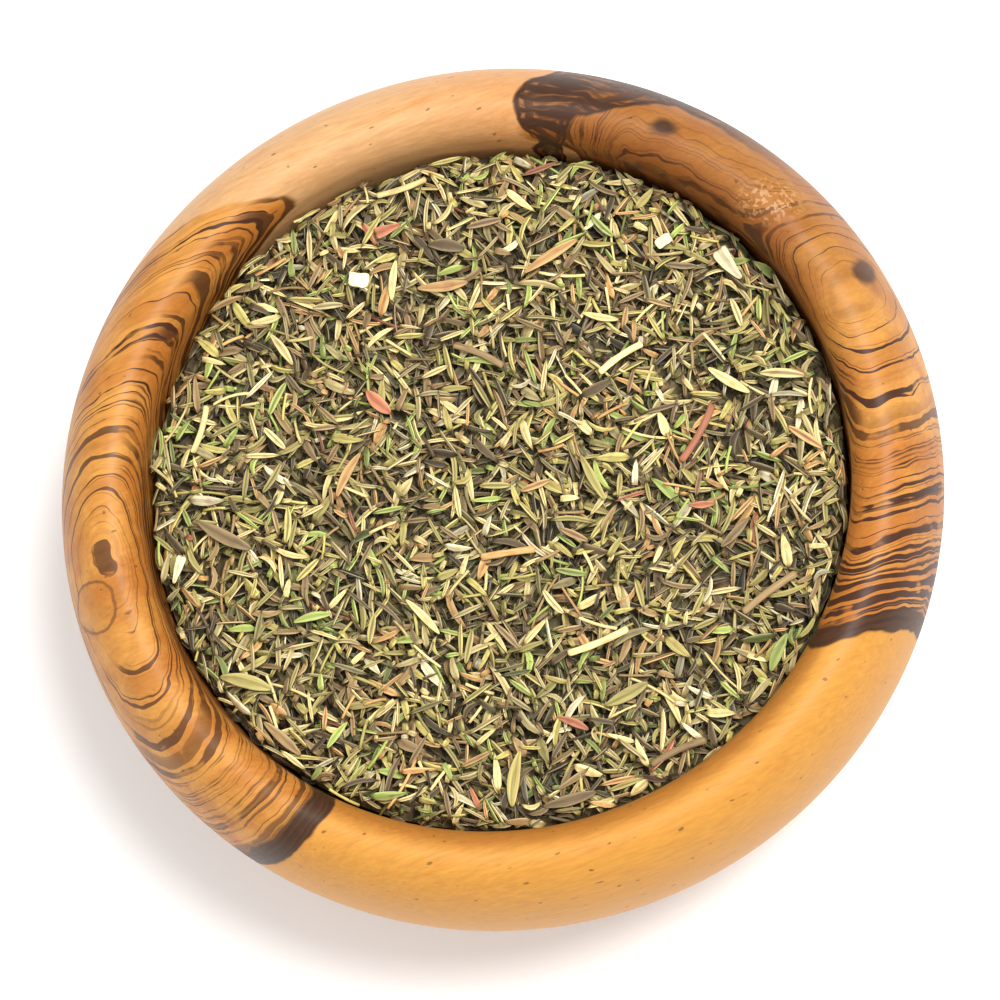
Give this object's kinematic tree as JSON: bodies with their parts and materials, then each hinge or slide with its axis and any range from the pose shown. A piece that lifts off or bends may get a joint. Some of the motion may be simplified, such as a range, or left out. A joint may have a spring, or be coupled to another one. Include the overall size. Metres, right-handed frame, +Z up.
{
  "type": "bowl of dried thyme",
  "caption": "Round turned olive-wood bowl with a thick rounded rim and a flat foot, filled near its rim with dried rubbed thyme leaves and short stem pieces.",
  "frame": {"origin": "centre of the flat foot that the bowl stands on", "axes": "+Z up out of the bowl's mouth; the grain of the wood, and the long way of the slightly oval bowl, lies 18 degrees from +X towards +Y"},
  "size_m": [0.111, 0.109, 0.046],
  "materials": {
    "olive_wood": "oiled and sanded, satin",
    "thyme_bulk": "matt, loose packed dried leaf",
    "dried_leaf": "matt, papery",
    "dried_stem": "matt, dry straw",
    "russet_leaf": "matt, papery",
    "dried_calyx": "matt, papery"
  },
  "bodies": {
    "root": {"bark_chip_01": "dried_calyx", "bark_chip_02": "dried_calyx", "broad_leaf_01": "dried_leaf", "broad_leaf_02": "dried_leaf", "broad_leaf_03": "dried_leaf", "broad_leaf_04": "dried_leaf", "broad_leaf_05": "dried_leaf", "broad_leaf_06": "dried_leaf", "broad_leaf_07": "dried_leaf", "broad_leaf_08": "dried_leaf", "broad_leaf_09": "dried_leaf", "broad_leaf_10": "dried_leaf", "broad_leaf_11": "dried_leaf", "broad_leaf_12": "dried_leaf", "broad_leaf_13": "dried_leaf", "broad_leaf_14": "dried_leaf", "broad_leaf_15": "dried_leaf", "broad_leaf_16": "dried_leaf", "broad_leaf_17": "dried_leaf", "broad_leaf_18": "dried_leaf", "broad_leaf_19": "dried_leaf", "broad_leaf_20": "dried_leaf", "calyx_01": "dried_calyx", "calyx_02": "dried_calyx", "calyx_03": "dried_calyx", "olive_wood_bowl": "olive_wood", "russet_leaf_01": "russet_leaf", "russet_leaf_02": "russet_leaf", "russet_leaf_03": "russet_leaf", "russet_leaf_04": "russet_leaf", "small_leaf_01": "dried_leaf", "small_leaf_02": "dried_leaf", "small_leaf_03": "dried_leaf", "small_leaf_04": "dried_leaf", "small_leaf_05": "dried_leaf", "small_leaf_06": "dried_leaf", "small_leaf_07": "dried_leaf", "small_leaf_08": "dried_leaf", "small_leaf_09": "dried_leaf", "small_leaf_10": "dried_leaf", "small_leaf_11": "dried_leaf", "small_leaf_12": "dried_leaf", "small_leaf_13": "dried_leaf", "small_leaf_14": "dried_leaf", "small_leaf_15": "dried_leaf", "small_leaf_16": "dried_leaf", "small_leaf_17": "dried_leaf", "small_leaf_18": "dried_leaf", "small_leaf_19": "dried_leaf", "small_leaf_20": "dried_leaf", "stem_piece_01": "dried_stem", "stem_piece_02": "dried_stem", "stem_piece_03": "dried_stem", "stem_piece_04": "dried_stem", "stem_piece_05": "dried_stem", "stem_piece_06": "dried_stem", "stem_piece_07": "dried_stem", "stem_piece_08": "dried_stem", "stem_piece_09": "dried_stem", "thyme_fill": "thyme_bulk"}
  },
  "joints": []
}
